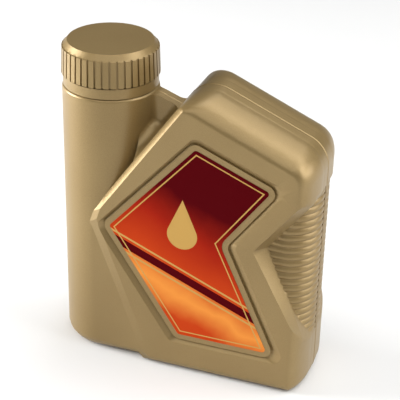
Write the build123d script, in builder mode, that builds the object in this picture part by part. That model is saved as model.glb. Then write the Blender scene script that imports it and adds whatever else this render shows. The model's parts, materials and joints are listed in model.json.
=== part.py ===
from build123d import *
from math import cos, hypot, radians, sin, tan
import os

# Blow-moulded oil bottle of one litre: a round column that carries the neck and the screw cap,
# joined to a chevron-shaped slab with ribbed finger grips and a sunk label panel.
# Millimetres, Z up, front towards -Y, the mould's parting plane at Y = 0, standing on Z = 0.

# Column and foot
column_x = -48.2
column_radius = 26.5
column_base_round = 7.7
shoulder_height = 158.2
shoulder_round = 1.6
foot_length = 40.5
foot_height = 82.9

# Wall of the moulding
wall = 1.2

# Flat steps that make up a turned rounding, on the outside and behind the wall
outer_steps = 4
inner_steps = 2

# Slab: corners of its outline in the parting plane, and its half depth
tip_x = -53.6
tip_height = 85.7
crown_x = 6.5
crown_height = 170.5
side_x = 74.75
side_height = 141.0
heel_x = -20.7
slab_half_depth = 28.9
slab_base_round = 5.8
tip_round = 5.8
crown_round = 17.3
side_round = 17.3
toe_round = 5.8
heel_round = 7.7

# Soft edge that runs along the top and the right side of the slab
soft_edge_start = 6.0
soft_edge_top = 10.1
soft_edge_side = 8.6
soft_edge_sections = 8
soft_edge_inner_sections = 3

# Bevels along the two left edges of the slab's face
bevel_depth = 3.4
upper_bevel_width = 2.9
lower_bevel_width = 8.4
tip_cut = 0.9

# Saddle web between the column and the slab
web_half_depth = 4.8
web_fill_half_depth = 23.1
web_bottom_height = 77.1
web_start_x = -26.0
web_shelf_x = -19.8
web_shelf_height = 157.0
web_dip_x = -5.4
web_dip_height = 151.5
web_end_x = 9.6
web_shelf_round = 9.6
web_blend_round = 4.5
web_notch_round = 5.0
web_sink = 0.15

# Fine ridge that the parting line of the mould leaves
seam_rise = 0.25
seam_half_width = 0.6
seam_sink = 0.05

# Label and the panel that it lies on, as corners of the label
label_thickness = 0.2
label_left_x = -38.4
label_left_height = 85.4
label_top_x = 10.5
label_top_height = 140.2
label_right_x = 52.0
label_right_height = 122.9
label_notch_x = 25.5
label_notch_height = 86.7
label_toe_x = 54.4
label_bottom_height = 23.9
label_heel_x = 2.5
label_corner_round = 1.9
label_notch_round = 7.7

# Sunk panel: flat rim round the label, groove round the rim, run of the groove's outer wall
panel_drop = 1.0
rim_width = 3.3
groove_depth = 2.1
groove_floor = 0.4
groove_upper_left = 1.8
groove_upper_right = 3.1
groove_notch_upper = 2.6
groove_notch_lower = 4.4
groove_bottom = 1.9
groove_lower_left = 3.5

# Finger grips: a V cut on each face down to a rounded, ribbed core, with a land along the parting line
grip_tip_x = 44.1
grip_tip_height = 86.9
grip_upper_x = 81.9
grip_upper_height = 136.1
grip_lower_x = 81.9
grip_lower_height = 16.3
grip_floor_tip_x = 50.5
grip_floor_upper_height = 129.0
grip_floor_lower_height = 12.0
grip_tip_round = 2.9
grip_land_half_width = 2.0
grip_core_x = 57.5
grip_core_offset = 4.6
grip_core_radius = 16.4
grip_core_length = 20.0
rib_pitch = 3.9
rib_count = 23
rib_first_height = 31.8
rib_rise = 0.85
rib_crest_width = 1.5

# Sunk field under the slab
base_field_left_x = -5.8
base_field_right_x = 63.6
base_field_half_depth = 16.4
base_field_round = 7.7
base_field_depth = 1.6

# Neck
neck_radius = 22.4
neck_bore_radius = 20.4
bead_radius = 24.1
bead_clearance = 1.2
bead_land = 0.8

# Screw cap
cap_length = 17.9
cap_top_thickness = 1.8
cap_top_radius = 26.2
cap_bottom_radius = 26.8
cap_bore_radius = 24.1
cap_disc_radius = 23.3
cap_bevel_radius = 25.5
cap_bevel_height = 2.9
cap_ledge_height = 0.3
cap_inner_bevel = 1.2
cap_groove_count = 42
cap_groove_width = 1.1
cap_groove_depth = 1.35
cap_groove_length = 15.0

# Sealing disc inside the cap
liner_thickness = 1.2
liner_radius = 22.8

# Tamper band left on the neck, with the bridges that join it to the cap
band_height = 5.6
band_gap = 0.8
band_seat_gap = 0.3
band_radius = 25.9
band_bore_radius = 24.5
band_lip_radius = 23.4
band_lip_height = 1.5
bridge_count = 12
bridge_width = 1.2
bridge_thickness = 1.0

# Reach of cutting bodies past the faces that they cut
overcut = 2.0

# Heights of the closure, stacked up from the shoulder
band_bottom = shoulder_height + band_seat_gap
band_top = band_bottom + band_height
cap_bottom_height = band_top + band_gap
cap_height = cap_bottom_height + cap_length
rim_height = cap_height - cap_top_thickness - liner_thickness
bead_bottom_height = band_bottom + band_lip_height + bead_clearance

column_axis = Axis((column_x, 0, 0), (0, 0, 1))


def inset_corners(corners, insets):
    """Corners of a clockwise outline after each edge has moved inwards by its own inset."""
    lines = []
    for i, (start, inset) in enumerate(zip(corners, insets)):
        end = corners[(i + 1) % len(corners)]
        run, rise = end[0] - start[0], end[1] - start[1]
        length = hypot(run, rise)
        shift = (rise / length * inset, -run / length * inset)
        lines.append((start[0] + shift[0], start[1] + shift[1], run, rise))
    moved = []
    for i, (x, z, run, rise) in enumerate(lines):
        px, pz, prun, prise = lines[i - 1]
        along = ((px - x) * prise - (pz - z) * prun) / (run * prise - rise * prun)
        moved.append((x + along * run, z + along * rise))
    return moved


# Outline of the slab, clockwise from its left tip
slab_corners = [
    (tip_x, tip_height),
    (crown_x, crown_height),
    (side_x, side_height),
    (side_x, 0.0),
    (heel_x, 0.0),
]


def slab_outline(skin, top=0, side=0):
    """The slab's outline, moved inwards by a skin and drawn in further along its top and its side."""
    corners = inset_corners(slab_corners, [skin, skin + top, skin + side, skin, skin])
    softness = max(top, side)
    rounds = [
        tip_round,
        crown_round - skin - softness,
        side_round - skin - softness,
        toe_round - skin,
        heel_round - skin,
    ]
    return FilletPolyline(*corners, radius=rounds, close=True)


def slab_form(skin, sections, ruled):
    """The slab with soft edges and bevels, its whole surface moved inwards by a skin."""
    half_depth = slab_half_depth - skin
    soft_depth = half_depth - soft_edge_start
    base_round = slab_base_round - skin
    with BuildPart() as form:
        # Straight middle
        with BuildSketch(Plane.XZ):
            with BuildLine():
                slab_outline(skin)
            make_face()
        extrude(amount=soft_edge_start, both=True)
        # Soft front edge, following a quarter of an ellipse, and its twin at the back
        for step in range(sections + 1):
            angle = radians(90 * step / sections)
            reach = soft_edge_start + soft_depth * sin(angle)
            drawn_in = 1 - cos(angle)
            with BuildSketch(Plane.XZ.offset(reach)):
                with BuildLine():
                    slab_outline(skin, soft_edge_top * drawn_in, soft_edge_side * drawn_in)
                make_face()
        loft(ruled=ruled)
        mirror(about=Plane.XZ)
        # Bevelled left edges, front and back, with a blunt tip between them
        walls = inset_corners(slab_corners, [skin] * len(slab_corners))
        upper_line = inset_corners(slab_corners, [skin + upper_bevel_width, 0, 0, 0, skin])
        lower_line = inset_corners(slab_corners, [skin, 0, 0, 0, skin + lower_bevel_width])
        face_corner = inset_corners(
            slab_corners, [skin + upper_bevel_width, 0, 0, 0, skin + lower_bevel_width]
        )[0]
        for face in (-1, 1):
            deep = face * (half_depth - bevel_depth)
            between = Vector(0, 0, 0)
            for far, inner in ((walls[1], upper_line[0]), (walls[4], lower_line[0])):
                tip = Vector(walls[0][0], deep, walls[0][1])
                along = Vector(far[0], deep, far[1]) - tip
                across = Vector(inner[0], face * half_depth, inner[1]) - tip
                outward = along.cross(across).normalized()
                if outward.Y * face < 0:
                    outward = outward * -1
                split(bisect_by=Plane(tip, x_dir=along, z_dir=outward), keep=Keep.BOTTOM)
                between = between + outward
            blunt = Vector(face_corner[0], face * half_depth, face_corner[1])
            blunt = blunt - between.normalized() * tip_cut
            split(bisect_by=Plane(blunt, z_dir=between.normalized()), keep=Keep.BOTTOM)
        # Rounded bottom edges, front and back
        with BuildSketch(Plane.YZ.offset(tip_x - overcut)):
            for face in (-1, 1):
                centre = face * (half_depth - base_round)
                with Locations((face * half_depth, skin)):
                    Rectangle(2 * base_round, 2 * base_round)
                with Locations((centre, skin + base_round)):
                    Circle(base_round, mode=Mode.SUBTRACT)
                with Locations((centre - face * base_round, skin)):
                    Rectangle(2 * base_round, 4 * base_round, mode=Mode.SUBTRACT)
        extrude(amount=side_x - tip_x + 2 * overcut, mode=Mode.SUBTRACT)
    return form.part


def bend(x, z, radius, start, stop, steps):
    """Points of a rounded edge about its centre, as a run of flat steps."""
    turns = [radians(start + (stop - start) * i / steps) for i in range(steps + 1)]
    return [(x + radius * cos(turn), z + radius * sin(turn)) for turn in turns]


def column_form(skin, steps):
    """The round column with its foot, its whole surface moved inwards by a skin."""
    radius = column_radius - skin
    top = shoulder_height - skin
    base_round = column_base_round - skin
    base_edge = radius - base_round
    with BuildPart() as form:
        with BuildSketch(Plane.XZ):
            with BuildLine():
                shoulder_x = column_x + radius - shoulder_round
                Polyline(
                    (column_x, skin),
                    (column_x, top),
                    *bend(shoulder_x, top - shoulder_round, shoulder_round, 90, 0, steps // 2),
                    *bend(column_x + base_edge, skin + base_round, base_round, 0, -90, steps),
                    close=True,
                )
            make_face()
        revolve(axis=column_axis)
        with BuildSketch(Plane.YZ.offset(column_x)):
            with BuildLine():
                Polyline(
                    (-radius, foot_height - skin),
                    (radius, foot_height - skin),
                    *bend(base_edge, skin + base_round, base_round, 0, -90, steps),
                    *bend(-base_edge, skin + base_round, base_round, -90, -180, steps),
                    close=True,
                )
            make_face()
        extrude(amount=foot_length - skin)
    return form.part


def web_outline(skin):
    """The saddle between column and slab in the parting plane, its top lowered by a skin."""
    return FilletPolyline(
        (web_start_x, web_bottom_height),
        (web_start_x, web_shelf_height - skin),
        (web_shelf_x, web_shelf_height - skin),
        (web_dip_x, web_dip_height - skin),
        (web_end_x, web_dip_height - skin),
        (web_end_x, web_bottom_height),
        radius=[0, 0, web_shelf_round, 0, 0, 0],
        close=True,
    )


def web_form(skin, half_depth):
    """The saddle as a plain prism, its top lowered by a skin."""
    with BuildPart() as form:
        with BuildSketch(Plane.XZ):
            with BuildLine():
                web_outline(skin)
            make_face()
        extrude(amount=half_depth, both=True)
    return form.part


# Valley beside the saddle, between the column and the slab's upper left wall
slope = (crown_height - tip_height) / (crown_x - tip_x)
with BuildPart() as valley:
    sunk = inset_corners(slab_corners, [web_sink, 0, 0, 0, 0])
    valley_top = crown_height + overcut
    with BuildSketch(Plane.XZ.offset(web_half_depth)):
        with BuildLine():
            Polyline(
                (column_x, sunk[0][1] + slope * (column_x - sunk[0][0])),
                (column_x, valley_top),
                (sunk[0][0] + (valley_top - sunk[0][1]) / slope, valley_top),
                close=True,
            )
        make_face()
    extrude(amount=slab_half_depth)
    with Locations((column_x, 0, 0)):
        Cylinder(
            column_radius - web_sink,
            valley_top + overcut,
            align=(Align.CENTER, Align.CENTER, Align.MIN),
            mode=Mode.SUBTRACT,
        )
    # Rounded bottom of the V, then a blend round the valley's floor
    fillet(valley.edges().filter_by(GeomType.ELLIPSE), web_notch_round)
    valley_floor = valley.faces().filter_by(Axis.Y).sort_by(Axis.Y)[-1]
    fillet(valley_floor.edges().sort_by(Axis.Z)[:-1], web_blend_round)

with BuildPart() as web:
    add(web_form(0, web_fill_half_depth))
    add(valley.part, mode=Mode.SUBTRACT)
    add(valley.part.mirror(Plane.XZ), mode=Mode.SUBTRACT)


def column_outline(skin):
    """The left half of the column in the parting plane, up to its shoulder."""
    edge_x = column_x - column_radius + skin
    base_round = column_base_round - skin
    top = shoulder_height - shoulder_round
    return Polyline(
        (column_x, skin),
        *bend(edge_x + base_round, skin + base_round, base_round, -90, -180, outer_steps),
        (edge_x, top),
        (column_x, top),
        close=True,
    )


def seam_plate(outline):
    """A plate in the parting plane whose edge stands proud of an outline as a fine ridge."""
    with BuildPart() as plate:
        for reach, skin in ((0, -seam_rise), (seam_half_width, seam_sink)):
            with BuildSketch(Plane.XZ.offset(reach)):
                with BuildLine():
                    outline(skin)
                make_face()
        loft(ruled=True)
        mirror(about=Plane.XZ)
    return plate.part


# Outlines of the finger grip, clockwise from its tip: at the slab's face and at the ribbed front
grip_corners = [
    (grip_tip_x, grip_tip_height),
    (grip_upper_x, grip_upper_height),
    (grip_lower_x, grip_lower_height),
]
grip_floor_corners = [
    (grip_floor_tip_x, grip_tip_height),
    (grip_upper_x, grip_floor_upper_height),
    (grip_lower_x, grip_floor_lower_height),
]
grip_front = grip_core_offset + grip_core_radius


def grip_core(skin, ribs):
    """Ribbed core of the front grip: a flat front that turns round to the side, three faces to a rib."""
    radius = grip_core_radius - skin
    profile = [(0, 0), (radius, 0)]
    for i in range(ribs):
        crest = rib_first_height + i * rib_pitch
        profile += [
            (radius, crest - rib_pitch / 2),
            (radius + rib_rise, crest - rib_crest_width / 2),
            (radius + rib_rise, crest + rib_crest_width / 2),
        ]
    if ribs:
        profile.append((radius, crest + rib_pitch / 2))
    profile += [(radius, crown_height), (0, crown_height)]
    with BuildPart() as core:
        with BuildSketch(Plane.XZ.offset(grip_core_offset)):
            with BuildLine():
                Polyline(*[(grip_core_x + r, z) for r, z in profile], close=True)
            make_face()
        revolve(axis=Axis((grip_core_x, -grip_core_offset, 0), (0, 0, 1)))
        with BuildSketch(Plane.YZ.offset(grip_core_x)):
            with BuildLine():
                Polyline(*[(-grip_core_offset - r, z) for r, z in profile], close=True)
            make_face()
        extrude(amount=-grip_core_length)
    return core.part


def grip_space(skin, ribs):
    """The finger grip of the front face, as the space that it leaves."""
    wall_depth = slab_half_depth - grip_front
    with BuildPart() as space:
        for reach, share in (
            (slab_half_depth + overcut, -overcut / wall_depth),
            (grip_front, 1),
            (grip_land_half_width, 1),
        ):
            corners = [
                (outer[0] + share * (inner[0] - outer[0]), outer[1] + share * (inner[1] - outer[1]))
                for outer, inner in zip(grip_corners, grip_floor_corners)
            ]
            corners = inset_corners(corners, [-skin, 0, -skin])
            with BuildSketch(Plane.XZ.offset(reach)):
                with BuildLine():
                    FilletPolyline(*corners, radius=[grip_tip_round, 0, 0], close=True)
                make_face()
        loft(ruled=True)
        add(grip_core(skin, ribs), mode=Mode.SUBTRACT)
    return space.part


# Label outline, clockwise from its left tip
label_corners = [
    (label_left_x, label_left_height),
    (label_top_x, label_top_height),
    (label_right_x, label_right_height),
    (label_notch_x, label_notch_height),
    (label_toe_x, label_bottom_height),
    (label_heel_x, label_bottom_height),
]
groove_runs = [
    groove_upper_left,
    groove_upper_right,
    groove_notch_upper,
    groove_notch_lower,
    groove_bottom,
    groove_lower_left,
]


def panel_outline(margin, share):
    """Outline round the label at a margin, with a share of each side's groove wall added."""
    margins = [margin + share * run for run in groove_runs]
    corners = inset_corners(label_corners, [-m for m in margins])
    rounds = [label_corner_round + margin] * len(label_corners)
    rounds[3] = max(label_notch_round - margin, label_corner_round)
    return FilletPolyline(*corners, radius=rounds, close=True)


# Sunk label panel of the front face, as the space that it leaves
with BuildPart() as panel:
    for reach, share in (
        (slab_half_depth + overcut, 1 + overcut / groove_depth),
        (slab_half_depth - groove_depth, 0),
    ):
        with BuildSketch(Plane.XZ.offset(reach)):
            with BuildLine():
                panel_outline(rim_width + groove_floor, share)
            make_face()
    loft(ruled=True)
    with BuildSketch(Plane.XZ.offset(slab_half_depth - groove_depth - overcut)):
        with BuildLine():
            panel_outline(rim_width, 0)
        make_face()
    extrude(amount=groove_depth + overcut - panel_drop, mode=Mode.SUBTRACT)

# The same place seen from inside, where the wall bends back round it
with BuildPart() as panel_back:
    with BuildSketch(Plane.XZ.offset(slab_half_depth - groove_depth - wall)):
        with BuildLine():
            panel_outline(rim_width + groove_floor + wall, 1)
        make_face()
    extrude(amount=groove_depth + wall + overcut)
    with BuildSketch(Plane.XZ.offset(slab_half_depth - groove_depth - wall - overcut)):
        with BuildLine():
            panel_outline(rim_width - wall, 0)
        make_face()
    extrude(amount=groove_depth + overcut - panel_drop, mode=Mode.SUBTRACT)

# Sunk field under the slab, outside and inside
base_field_length = base_field_right_x - base_field_left_x
base_field_x = (base_field_left_x + base_field_right_x) / 2


def base_field(skin):
    with BuildPart() as field:
        with BuildSketch(Plane.XY.offset(-overcut)):
            with Locations((base_field_x, 0)):
                RectangleRounded(
                    base_field_length + 2 * skin,
                    2 * (base_field_half_depth + skin),
                    base_field_round + skin,
                )
        extrude(amount=overcut + base_field_depth + skin)
    return field.part


# Space inside the bottle, a wall's thickness behind every face
grip_back = grip_space(wall, 0)
with BuildPart() as inside:
    add(column_form(wall, inner_steps))
    add(slab_form(wall, soft_edge_inner_sections, True))
    add(web_form(wall, web_half_depth - wall))
    for cut in (grip_back, panel_back.part):
        add(cut, mode=Mode.SUBTRACT)
        add(cut.mirror(Plane.XZ), mode=Mode.SUBTRACT)
    add(base_field(wall), mode=Mode.SUBTRACT)
    with Locations((column_x, 0, shoulder_height - wall - overcut)):
        Cylinder(
            neck_bore_radius,
            rim_height - shoulder_height + wall + 2 * overcut,
            align=(Align.CENTER, Align.CENTER, Align.MIN),
        )

# Bottle
grip = grip_space(0, rib_count)
with BuildPart() as bottle:
    add(column_form(0, outer_steps))
    add(slab_form(0, soft_edge_sections, False))
    add(web.part)
    for outline in (slab_outline, web_outline, column_outline):
        add(seam_plate(outline))
    for cut in (grip, panel.part):
        add(cut, mode=Mode.SUBTRACT)
        add(cut.mirror(Plane.XZ), mode=Mode.SUBTRACT)
    add(base_field(0), mode=Mode.SUBTRACT)
    # Neck with the bead that holds the tamper band
    with BuildSketch(Plane.XZ):
        with BuildLine():
            Polyline(
                (column_x, shoulder_height - wall),
                (column_x, rim_height),
                (column_x + neck_radius, rim_height),
                (column_x + neck_radius, bead_bottom_height + bead_land + bead_radius - neck_radius),
                (column_x + bead_radius, bead_bottom_height + bead_land),
                (column_x + bead_radius, bead_bottom_height),
                (column_x + neck_radius, bead_bottom_height),
                (column_x + neck_radius, shoulder_height - wall),
                close=True,
            )
        make_face()
    revolve(axis=column_axis)
    add(inside.part, mode=Mode.SUBTRACT)
    split(bisect_by=Plane.XY, keep=Keep.TOP)

# Screw cap: a flat disc, a bevel, a small ledge where the grip's flats begin, and a tapered skirt
cap_ledge_top = cap_height - cap_bevel_height
cap_inner_top = cap_height - cap_top_thickness
with BuildPart() as cap:
    with BuildSketch(Plane.XZ):
        with BuildLine():
            Polyline(
                (column_x, cap_inner_top),
                (column_x, cap_height),
                (column_x + cap_disc_radius, cap_height),
                (column_x + cap_bevel_radius, cap_ledge_top),
                (column_x + cap_top_radius, cap_ledge_top - cap_ledge_height),
                (column_x + cap_bottom_radius, cap_bottom_height),
                (column_x + cap_bore_radius, cap_bottom_height),
                (column_x + cap_bore_radius, cap_inner_top - cap_inner_bevel),
                (column_x + cap_bore_radius - cap_inner_bevel, cap_inner_top),
                close=True,
            )
        make_face()
    revolve(axis=column_axis)
    # Grip grooves down the skirt
    with BuildSketch(Plane.XY.offset(cap_bottom_height)):
        with Locations((column_x, 0)):
            with PolarLocations(cap_bottom_radius, cap_groove_count):
                Rectangle(2 * cap_groove_depth, cap_groove_width)
    extrude(amount=cap_groove_length, mode=Mode.SUBTRACT)

# Sealing disc, flat against the cap's top inside and against the neck's rim
with BuildPart() as liner:
    with Locations((column_x, 0, rim_height)):
        Cylinder(
            liner_radius, liner_thickness, align=(Align.CENTER, Align.CENTER, Align.MIN)
        )

# Tamper band
with BuildPart() as band:
    with BuildSketch(Plane.XZ):
        with BuildLine():
            Polyline(
                (column_x + band_lip_radius, band_bottom),
                (column_x + band_lip_radius, band_bottom + band_lip_height),
                (column_x + band_bore_radius, band_bottom + band_lip_height),
                (column_x + band_bore_radius, band_top),
                (column_x + band_radius, band_top),
                (column_x + band_radius, band_bottom),
                close=True,
            )
        make_face()
    revolve(axis=column_axis)
    with BuildSketch(Plane.XY.offset(band_top)):
        with Locations((column_x, 0)):
            with PolarLocations((band_radius + band_bore_radius) / 2, bridge_count):
                Rectangle(bridge_thickness, bridge_width)
    extrude(amount=band_gap)

# Front label, flat on the rim's face
with BuildPart() as label:
    with BuildSketch(Plane.XZ.offset(slab_half_depth - panel_drop)):
        with BuildLine():
            FilletPolyline(
                *label_corners,
                radius=[label_corner_round] * 3 + [label_notch_round] + [label_corner_round] * 2,
                close=True,
            )
        make_face()
    extrude(amount=label_thickness)

os.makedirs("parts", exist_ok=True)

bottle.part.label = "bottle"
export_step(bottle.part, "parts/bottle.step")

cap.part.label = "screw_cap"
export_step(cap.part, "parts/screw_cap.step")

liner.part.label = "cap_liner"
export_step(liner.part, "parts/cap_liner.step")

band.part.label = "tamper_band"
export_step(band.part, "parts/tamper_band.step")

label.part.label = "front_label"
export_step(label.part, "parts/front_label.step")
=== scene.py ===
import json
import math

import bpy
from mathutils import Matrix, Vector


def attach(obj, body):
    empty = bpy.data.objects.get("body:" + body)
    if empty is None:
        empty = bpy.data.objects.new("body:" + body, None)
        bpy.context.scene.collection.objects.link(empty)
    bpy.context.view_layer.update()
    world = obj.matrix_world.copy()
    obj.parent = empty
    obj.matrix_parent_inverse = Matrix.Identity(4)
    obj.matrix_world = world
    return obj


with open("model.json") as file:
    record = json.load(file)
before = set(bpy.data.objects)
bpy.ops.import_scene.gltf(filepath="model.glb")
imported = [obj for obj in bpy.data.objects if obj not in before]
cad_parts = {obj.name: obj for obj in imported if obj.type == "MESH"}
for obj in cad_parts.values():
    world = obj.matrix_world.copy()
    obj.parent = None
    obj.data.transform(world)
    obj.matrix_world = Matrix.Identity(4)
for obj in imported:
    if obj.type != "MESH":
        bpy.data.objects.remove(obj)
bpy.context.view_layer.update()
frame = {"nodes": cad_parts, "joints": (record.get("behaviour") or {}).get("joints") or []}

# Axis of the column, which the cap turns about: the second joint
column_axis = Vector(frame["joints"][1]["pos_m"])

# Metres in the part's own frame: front towards -Y, column towards -X, standing on Z = 0
MM = 0.001

# Camera at the photograph's viewing angle
CAMERA_TARGET = Vector((0.00384, 0.0, 0.0954))
CAMERA_AZIMUTH = 18.895
CAMERA_ELEVATION = 28.688
CAMERA_ROLL = 1.391
CAMERA_DISTANCE = 0.7174
CAMERA_LENS = 117.0
CAMERA_SENSOR = 36.0
CAMERA_SHIFT_X = 0.00125

# Colours of the moulded plastic, linear
BRONZE = (0.310, 0.215, 0.086)
BRONZE_DEEP = (0.250, 0.166, 0.062)

# Moulded plastic: scales of its pearl flakes, its flow lines and its grain, what the first two add to
# the colour, where the colour turns, and how deep the grain is
FLAKE_SCALE = 2600.0
FLOW_SCALE = 16.0
GRAIN_SCALE = 1500.0
FLAKE_SHARE = 0.55
FLOW_SHARE = 0.45
PEARL = [
    (0.36, BRONZE_DEEP),
    (0.64, BRONZE),
]
GRAIN_DEPTH = 0.012 * MM

# Lowest and highest roughness of a satin skin
SATIN = (0.34, 0.46)

# Foam of the liner: scale and depth of its cells, and its colours, linear
FOAM_SCALE = 1800.0
FOAM_DEPTH = 0.05 * MM
FOAM = [
    (0.3, (0.62, 0.61, 0.57)),
    (0.7, (0.80, 0.79, 0.75)),
]

# Middle of the noise, and its levels of detail, as a rule and where it is smoother
NOISE_MIDDLE = 0.5
NOISE_DETAIL = 3.0
SMOOTH_DETAIL = 2.0

# Colours of the label's print, linear
BURGUNDY = (0.084, 0.001, 0.003)
RED = (0.360, 0.017, 0.006)
FLAME = (0.560, 0.055, 0.010)
ORANGE = (0.840, 0.300, 0.055)
GOLD = (0.560, 0.335, 0.095)

# Corners of the label as (x, z), clockwise from its left tip, and which of them is the notch
LABEL_CORNERS = [
    (-38.4 * MM, 85.4 * MM),
    (10.5 * MM, 140.2 * MM),
    (52.0 * MM, 122.9 * MM),
    (25.5 * MM, 86.7 * MM),
    (54.4 * MM, 23.9 * MM),
    (2.5 * MM, 23.9 * MM),
]
NOTCH = 3

# Line of print inside the label's edge, as (distance from the edge, half width)
KEYLINE = (2.3 * MM, 0.35 * MM)

# Stripes that fall to the right as the label's upper edge does: a point that they are measured from,
# and for each its distance below that point, its half width and its colour
STRIPE_POINT = (0.0, 68.0 * MM)
STRIPES = [
    (0.0, 0.55 * MM, GOLD),
    (4.4 * MM, 2.4 * MM, BURGUNDY),
    (8.8 * MM, 0.55 * MM, GOLD),
]

# Field of the print: its ends as distances below that point, and its colours between them
FIELD_ENDS = (40.0 * MM, -70.0 * MM)
FIELD = [
    (0.0, FLAME),
    (0.10, FLAME),
    (0.22, ORANGE),
    (0.35, FLAME),
    (0.56, RED),
    (0.74, BURGUNDY),
]

# Clouds in that field, which shift its colours, and grain of the film
CLOUD_SCALE = 45.0
CLOUD_RANGE = 0.12
FILM_SCALE = 900.0

# Plain drop: centre as (x, z), radius of its round end, height of its point
DROP_CENTRE = (4.0 * MM, 88.0 * MM)
DROP_RADIUS = 8.6 * MM
DROP_POINT = 21.5 * MM

# Edges that bend by less than this, in degrees, are shaded round
ROUND_LIMIT = 47.0
WELD_DISTANCE = 0.002 * MM

# Where flat bevels meet at small angles a lower limit keeps them crisp: along the parting line,
# round the panel's groove but for its side above the notch, and on the bevel between the slab's
# left tip and its heel
CRISP_LIMIT = 15.0
SEAM_ZONE = 0.8 * MM
FACE_ZONE = 25.0 * MM
PANEL_ZONE = 9.0 * MM
SLAB_TIP = (-53.6 * MM, 85.7 * MM)
SLAB_HEEL = (-20.7 * MM, 0.0)
BEVEL_MIDDLE = 4.5 * MM
BEVEL_HALF_WIDTH = 5.5 * MM
BEVEL_LOW = 8.0 * MM

# Screw thread of neck and cap
THREAD_PITCH = 6.0 * MM
THREAD_BOTTOM = 167.2 * MM
NECK_THREAD_TURNS = 1.6
CAP_THREAD_TURNS = 1.25
NECK_RADIUS = 22.4 * MM
NECK_CREST_RADIUS = 23.6 * MM
CAP_BORE_RADIUS = 24.1 * MM
CAP_CREST_RADIUS = 22.9 * MM
THREAD_ROOT_WIDTH = 2.4 * MM
THREAD_CREST_WIDTH = 1.0 * MM
THREAD_STEPS = 96

# Share of a thread's run in which each end fades, and how far it is sunk, as a share of its height
THREAD_FADE = 0.125
THREAD_SINK = 0.2

# Stage: floor and surroundings
FLOOR_HALF_SIZE = 6.0
FLOOR_COLOUR = (0.75, 0.75, 0.745, 1.0)
SKY_COLOUR = (0.95, 0.97, 1.0, 1.0)
SKY_STRENGTH = 0.11

# Soft boxes: name, azimuth and elevation in degrees, distance, width and height in metres, watts
SOFT_BOXES = [
    ("left_low_box", -80, 10, 1.1, 0.6, 0.36, 12.5),
    ("left_box", -78, 20, 1.2, 0.5, 0.8, 10.0),
    ("back_box", 155, 58, 2.6, 2.2, 1.8, 22.0),
    ("top_box", 155, 70, 2.6, 2.0, 1.0, 11.6),
    ("front_box", 12, 56, 2.2, 2.4, 2.2, 23.5),
    ("right_low_box", 105, 14, 1.3, 0.6, 0.5, 4.0),
    ("right_box", 82, 24, 1.3, 0.5, 0.8, 5.0),
    ("right_top_box", 95, 46, 1.3, 0.7, 0.7, 5.2),
]


# Node trees


class Tree:
    """A node tree under construction, with short ways to add and join nodes."""

    def __init__(self, tree):
        self.nodes = tree.nodes
        self.links = tree.links

    def add(self, kind, **settings):
        node = self.nodes.new(kind)
        for key, value in settings.items():
            setattr(node, key, value)
        return node

    def join(self, source, target):
        self.links.new(source, target)

    def math(self, operation, first, second=0.0):
        node = self.add("ShaderNodeMath", operation=operation)
        for socket, value in zip(node.inputs, (first, second)):
            if isinstance(value, (int, float)):
                socket.default_value = value
            else:
                self.join(value, socket)
        return node.outputs["Value"]

    def axes(self, place):
        split = self.add("ShaderNodeSeparateXYZ")
        self.join(place, split.inputs["Vector"])
        return split.outputs["X"], split.outputs["Y"], split.outputs["Z"]

    def distance_from(self, x, z, start, end):
        """Distance to the right of the line through two points."""
        run, rise = end[0] - start[0], end[1] - start[1]
        length = math.hypot(run, rise)
        across = self.math("MULTIPLY", self.math("SUBTRACT", x, start[0]), rise / length)
        up = self.math("MULTIPLY", self.math("SUBTRACT", z, start[1]), run / length)
        return self.math("SUBTRACT", across, up)

    def label_distance(self, x, z):
        """Distance inwards from the label's edge, with its one hollow corner at the notch."""
        ends = LABEL_CORNERS[1:] + LABEL_CORNERS[:1]
        sides = [self.distance_from(x, z, start, end) for start, end in zip(LABEL_CORNERS, ends)]
        nearest = self.math("MAXIMUM", sides.pop(NOTCH - 1), sides.pop(NOTCH - 1))
        for side in sides:
            nearest = self.math("MINIMUM", nearest, side)
        return nearest

    def within(self, value, middle, half_width):
        """One where a value lies in a band."""
        away = self.math("ABSOLUTE", self.math("SUBTRACT", value, middle))
        return self.math("LESS_THAN", away, half_width)


class Shader(Tree):
    """A node material with its main shader."""

    def __init__(self, name):
        self.material = bpy.data.materials.new(name)
        self.material.use_nodes = True
        super().__init__(self.material.node_tree)
        self.bsdf = self.nodes["Principled BSDF"]
        self.place = self.add("ShaderNodeTexCoord").outputs["Object"]

    def set(self, **values):
        for key, value in values.items():
            self.bsdf.inputs[key.replace("_", " ")].default_value = value

    def noise(self, scale, detail=NOISE_DETAIL):
        node = self.add("ShaderNodeTexNoise")
        node.inputs["Scale"].default_value = scale
        node.inputs["Detail"].default_value = detail
        self.join(self.place, node.inputs["Vector"])
        return node.outputs["Fac"]

    def ramp(self, source, stops):
        node = self.add("ShaderNodeValToRGB")
        while len(node.color_ramp.elements) < len(stops):
            node.color_ramp.elements.new(1.0)
        for element, (position, colour) in zip(node.color_ramp.elements, stops):
            element.position = position
            element.color = (*colour, 1.0)
        self.join(source, node.inputs["Fac"])
        return node.outputs["Color"]

    def spread(self, source, low, high):
        node = self.add("ShaderNodeMapRange")
        node.inputs["To Min"].default_value = low
        node.inputs["To Max"].default_value = high
        self.join(source, node.inputs["Value"])
        return node.outputs["Result"]

    def layer(self, below, colour, mask):
        """One colour laid over another where the mask is one."""
        node = self.add("ShaderNodeMix", data_type="RGBA")
        # The colour sockets share their names with others, so they are known by number
        factor, first, second = node.inputs["Factor"], node.inputs[6], node.inputs[7]
        self.join(mask, factor)
        self.join(below, first)
        second.default_value = (*colour, 1.0)
        return node.outputs[2]

    def bump(self, source, distance):
        node = self.add("ShaderNodeBump")
        node.inputs["Strength"].default_value = 1.0
        node.inputs["Distance"].default_value = distance
        self.join(source, node.inputs["Height"])
        self.join(node.outputs["Normal"], self.bsdf.inputs["Normal"])


# Materials


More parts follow.
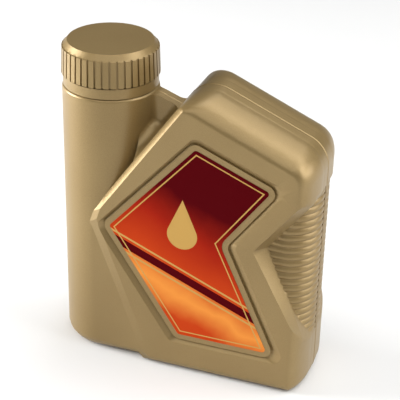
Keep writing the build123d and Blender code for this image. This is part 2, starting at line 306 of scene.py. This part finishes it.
def pearl_plastic(name):
    """Bronze moulded plastic with fine pearl flakes and a satin skin."""
    shader = Shader(name)
    flakes = shader.noise(FLAKE_SCALE)
    flow = shader.noise(FLOW_SCALE)
    flake_part = shader.math("MULTIPLY", flakes, FLAKE_SHARE)
    flow_part = shader.math("MULTIPLY", flow, FLOW_SHARE)
    colour = shader.ramp(shader.math("ADD", flake_part, flow_part), PEARL)
    shader.join(colour, shader.bsdf.inputs["Base Color"])
    shader.join(shader.spread(flakes, *SATIN), shader.bsdf.inputs["Roughness"])
    shader.set(Metallic=0.48, Coat_Weight=0.16, Coat_Roughness=0.22, IOR=1.5)
    shader.bump(shader.noise(GRAIN_SCALE, SMOOTH_DETAIL), GRAIN_DEPTH)
    return shader.material


def label_print(name):
    """Printed film: a slanted field from burgundy to orange with a keyline, stripes and a plain drop."""
    shader = Shader(name)
    x, _, z = shader.axes(shader.place)

    def drop():
        """One inside the drop: a disc and the cone of its two tangents."""
        beside = shader.math("ABSOLUTE", shader.math("SUBTRACT", x, DROP_CENTRE[0]))
        above = shader.math("SUBTRACT", z, DROP_CENTRE[1])
        reach = shader.math(
            "ADD", shader.math("MULTIPLY", beside, beside), shader.math("MULTIPLY", above, above)
        )
        disc = shader.math("LESS_THAN", reach, DROP_RADIUS**2)
        lean = math.asin(DROP_RADIUS / DROP_POINT)
        width = shader.math("MULTIPLY", shader.math("SUBTRACT", DROP_POINT, above), math.tan(lean))
        cone = shader.math(
            "MULTIPLY",
            shader.math("LESS_THAN", beside, width),
            shader.math("GREATER_THAN", above, DROP_RADIUS * math.sin(lean)),
        )
        return shader.math("MAXIMUM", disc, cone)

    top, right = LABEL_CORNERS[1:3]
    slant = (STRIPE_POINT[0] + right[0] - top[0], STRIPE_POINT[1] + right[1] - top[1])
    below = shader.distance_from(x, z, STRIPE_POINT, slant)
    share = shader.add("ShaderNodeMapRange")
    share.inputs["From Min"].default_value = FIELD_ENDS[0]
    share.inputs["From Max"].default_value = FIELD_ENDS[1]
    shader.join(below, share.inputs["Value"])
    cloud = shader.math("SUBTRACT", shader.noise(CLOUD_SCALE), NOISE_MIDDLE)
    cloud = shader.math("MULTIPLY", cloud, CLOUD_RANGE)
    colour = shader.ramp(shader.math("ADD", share.outputs["Result"], cloud), FIELD)
    for middle, half_width, print_colour in STRIPES:
        colour = shader.layer(colour, print_colour, shader.within(below, middle, half_width))
    colour = shader.layer(colour, GOLD, drop())
    colour = shader.layer(colour, GOLD, shader.within(shader.label_distance(x, z), *KEYLINE))
    shader.join(colour, shader.bsdf.inputs["Base Color"])
    grain = shader.noise(FILM_SCALE, SMOOTH_DETAIL)
    shader.join(shader.spread(grain, *SATIN), shader.bsdf.inputs["Roughness"])
    shader.set(Specular_IOR_Level=0.02)
    return shader.material


def liner_foam(name):
    """Matt white foam with fine cells."""
    shader = Shader(name)
    cells = shader.noise(FOAM_SCALE)
    shader.join(shader.ramp(cells, FOAM), shader.bsdf.inputs["Base Color"])
    shader.set(Roughness=0.85)
    shader.bump(cells, FOAM_DEPTH)
    return shader.material


# Shading of the moulded solids


def crisp_zones(tree):
    """One where small angles are kept crisp."""
    x, y, z = tree.axes(tree.add("GeometryNodeInputPosition").outputs["Position"])
    depth = tree.math("ABSOLUTE", y)
    on_seam = tree.math("LESS_THAN", depth, SEAM_ZONE)
    on_panel = tree.math("GREATER_THAN", tree.label_distance(x, z), -PANEL_ZONE)
    right, notch = LABEL_CORNERS[NOTCH - 1 : NOTCH + 1]
    past_notch = tree.math("LESS_THAN", tree.distance_from(x, z, right, notch), 0.0)
    past_notch = tree.math("MULTIPLY", past_notch, tree.math("GREATER_THAN", z, notch[1]))
    on_panel = tree.math("SUBTRACT", on_panel, past_notch)
    inwards = tree.distance_from(x, z, SLAB_HEEL, SLAB_TIP)
    on_bevel = tree.within(inwards, BEVEL_MIDDLE, BEVEL_HALF_WIDTH)
    on_bevel = tree.math("MULTIPLY", on_bevel, tree.math("GREATER_THAN", z, BEVEL_LOW))
    on_face = tree.math("GREATER_THAN", depth, FACE_ZONE)
    on_face = tree.math("MULTIPLY", on_face, tree.math("MAXIMUM", on_panel, on_bevel))
    return tree.math("MAXIMUM", on_seam, on_face)


def rounding_group():
    """Joins the faces of a solid and marks only its true corners as sharp."""
    group = bpy.data.node_groups.new("round_by_angle", "GeometryNodeTree")
    group.interface.new_socket("Geometry", in_out="INPUT", socket_type="NodeSocketGeometry")
    group.interface.new_socket("Geometry", in_out="OUTPUT", socket_type="NodeSocketGeometry")
    tree = Tree(group)
    entry = tree.add("NodeGroupInput")
    leave = tree.add("NodeGroupOutput")
    weld = tree.add("GeometryNodeMergeByDistance")
    weld.inputs["Distance"].default_value = WELD_DISTANCE
    angle = tree.add("GeometryNodeInputMeshEdgeAngle")
    sharp = tree.add("FunctionNodeCompare")
    normal = tree.add("GeometryNodeSetMeshNormal")
    normal.inputs["Remove Custom"].default_value = True
    lowered_by = math.radians(ROUND_LIMIT - CRISP_LIMIT)
    lowered = tree.math("MULTIPLY", crisp_zones(tree), lowered_by)
    limit = tree.math("SUBTRACT", math.radians(ROUND_LIMIT), lowered)
    tree.join(entry.outputs["Geometry"], weld.inputs["Geometry"])
    tree.join(weld.outputs["Geometry"], normal.inputs["Mesh"])
    tree.join(angle.outputs["Unsigned Angle"], sharp.inputs["A"])
    tree.join(limit, sharp.inputs["B"])
    tree.join(sharp.outputs["Result"], normal.inputs["Edge Sharpness"])
    tree.join(normal.outputs["Mesh"], leave.inputs["Geometry"])
    return group


def shade_round(node, group):
    """Shades a solid round, with normals that follow the largest face at each corner."""
    modifier = node.modifiers.new("round_by_angle", "NODES")
    modifier.node_group = group
    weighted = node.modifiers.new("flat_faces_first", "WEIGHTED_NORMAL")
    weighted.keep_sharp = True
    weighted.weight = 100


def paint(node, material):
    node.data.materials.clear()
    node.data.materials.append(material)


# Screw thread


def thread(name, root_radius, crest_radius, start_height, turns, body, material):
    """One right-hand thread as a closed ridge, which fades in and out of its wall at both ends."""
    points, faces = [], []
    total = int(THREAD_STEPS * turns)
    for step in range(total + 1):
        share = step / total
        fade = min(1.0, share / THREAD_FADE, (1 - share) / THREAD_FADE)
        turn = 2 * math.pi * turns * share
        middle = start_height + THREAD_PITCH * turns * share
        sunk_radius = root_radius - THREAD_SINK * (crest_radius - root_radius)
        crest = sunk_radius + fade * (crest_radius - sunk_radius)
        section = [
            (sunk_radius, -THREAD_ROOT_WIDTH / 2),
            (crest, -THREAD_CREST_WIDTH / 2),
            (crest, THREAD_CREST_WIDTH / 2),
            (sunk_radius, THREAD_ROOT_WIDTH / 2),
        ]
        for radius, offset in section:
            across = radius * math.cos(turn)
            along = radius * math.sin(turn)
            points.append((column_axis.x + across, column_axis.y + along, middle + offset))
    sides = len(section)
    for step in range(total):
        for side in range(sides):
            a = step * sides + side
            b = step * sides + (side + 1) % sides
            faces.append((a, b, b + sides, a + sides))
    faces.append(tuple(reversed(range(sides))))
    faces.append(tuple(total * sides + side for side in range(sides)))
    # A ridge that stands outwards runs the other way round
    if crest_radius > root_radius:
        faces = [face[::-1] for face in faces]
    mesh = bpy.data.meshes.new(name)
    mesh.from_pydata(points, [], faces)
    mesh.update()
    piece = bpy.data.objects.new(name, mesh)
    bpy.context.scene.collection.objects.link(piece)
    mesh.materials.append(material)
    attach(piece, body)


# Stage: floor, lights, camera


def stage_floor():
    size = FLOOR_HALF_SIZE
    mesh = bpy.data.meshes.new("floor")
    corners = [(-size, -size, 0), (size, -size, 0), (size, size, 0), (-size, size, 0)]
    mesh.from_pydata(corners, [], [(0, 1, 2, 3)])
    floor = bpy.data.objects.new("floor", mesh)
    bpy.context.scene.collection.objects.link(floor)
    shader = Shader("floor_paint")
    shader.set(Base_Color=FLOOR_COLOUR, Roughness=0.7, Specular_IOR_Level=0.15)
    mesh.materials.append(shader.material)


def bearing(azimuth, elevation):
    """Direction towards a place round the part, with azimuth 0 in front of it, in degrees."""
    turn, rise = math.radians(azimuth), math.radians(elevation)
    return Vector(
        (math.sin(turn) * math.cos(rise), -math.cos(turn) * math.cos(rise), math.sin(rise))
    )


def soft_box(name, azimuth, elevation, distance, width, height, power):
    """An area light that looks at the bottle's middle from a bearing."""
    light = bpy.data.lights.new(name, "AREA")
    light.shape = "RECTANGLE"
    light.size, light.size_y = width, height
    light.energy = power
    lamp = bpy.data.objects.new(name, light)
    bpy.context.scene.collection.objects.link(lamp)
    towards = bearing(azimuth, elevation)
    lamp.location = CAMERA_TARGET + towards * distance
    lamp.rotation_euler = towards.to_track_quat("Z", "Y").to_euler()


def camera():
    turn, roll = math.radians(CAMERA_AZIMUTH), math.radians(CAMERA_ROLL)
    back = bearing(CAMERA_AZIMUTH, CAMERA_ELEVATION)
    level = Vector((math.cos(turn), math.sin(turn), 0.0))
    upward = back.cross(level)
    right = math.cos(roll) * level + math.sin(roll) * upward
    up = math.cos(roll) * upward - math.sin(roll) * level
    data = bpy.data.cameras.new("camera")
    data.lens = CAMERA_LENS
    data.sensor_width = CAMERA_SENSOR
    data.shift_x = CAMERA_SHIFT_X
    view = bpy.data.objects.new("camera", data)
    bpy.context.scene.collection.objects.link(view)
    matrix = Matrix((right, up, back)).transposed().to_4x4()
    matrix.translation = CAMERA_TARGET + back * CAMERA_DISTANCE
    view.matrix_world = matrix
    bpy.context.scene.camera = view


def studio():
    scene = bpy.context.scene
    scene.view_settings.view_transform = "Standard"
    world = bpy.data.worlds.new("studio")
    scene.world = world
    world.use_nodes = True
    background = world.node_tree.nodes["Background"]
    background.inputs["Color"].default_value = SKY_COLOUR
    background.inputs["Strength"].default_value = SKY_STRENGTH
    for values in SOFT_BOXES:
        soft_box(*values)
    stage_floor()
    camera()


body_plastic = pearl_plastic("bronze_pearl")
cap_plastic = pearl_plastic("bronze_pearl_cap")
paint(frame["nodes"]["bottle"], body_plastic)
paint(frame["nodes"]["screw_cap"], cap_plastic)
paint(frame["nodes"]["tamper_band"], cap_plastic)
paint(frame["nodes"]["cap_liner"], liner_foam("white_foam"))
paint(frame["nodes"]["front_label"], label_print("printed_film"))

rounding = rounding_group()
for node in frame["nodes"].values():
    shade_round(node, rounding)

thread(
    "neck_thread",
    NECK_RADIUS,
    NECK_CREST_RADIUS,
    THREAD_BOTTOM,
    NECK_THREAD_TURNS,
    "bottle",
    body_plastic,
)
thread(
    "cap_thread",
    CAP_BORE_RADIUS,
    CAP_CREST_RADIUS,
    THREAD_BOTTOM + THREAD_PITCH / 2,
    CAP_THREAD_TURNS,
    "cap",
    cap_plastic,
)
studio()
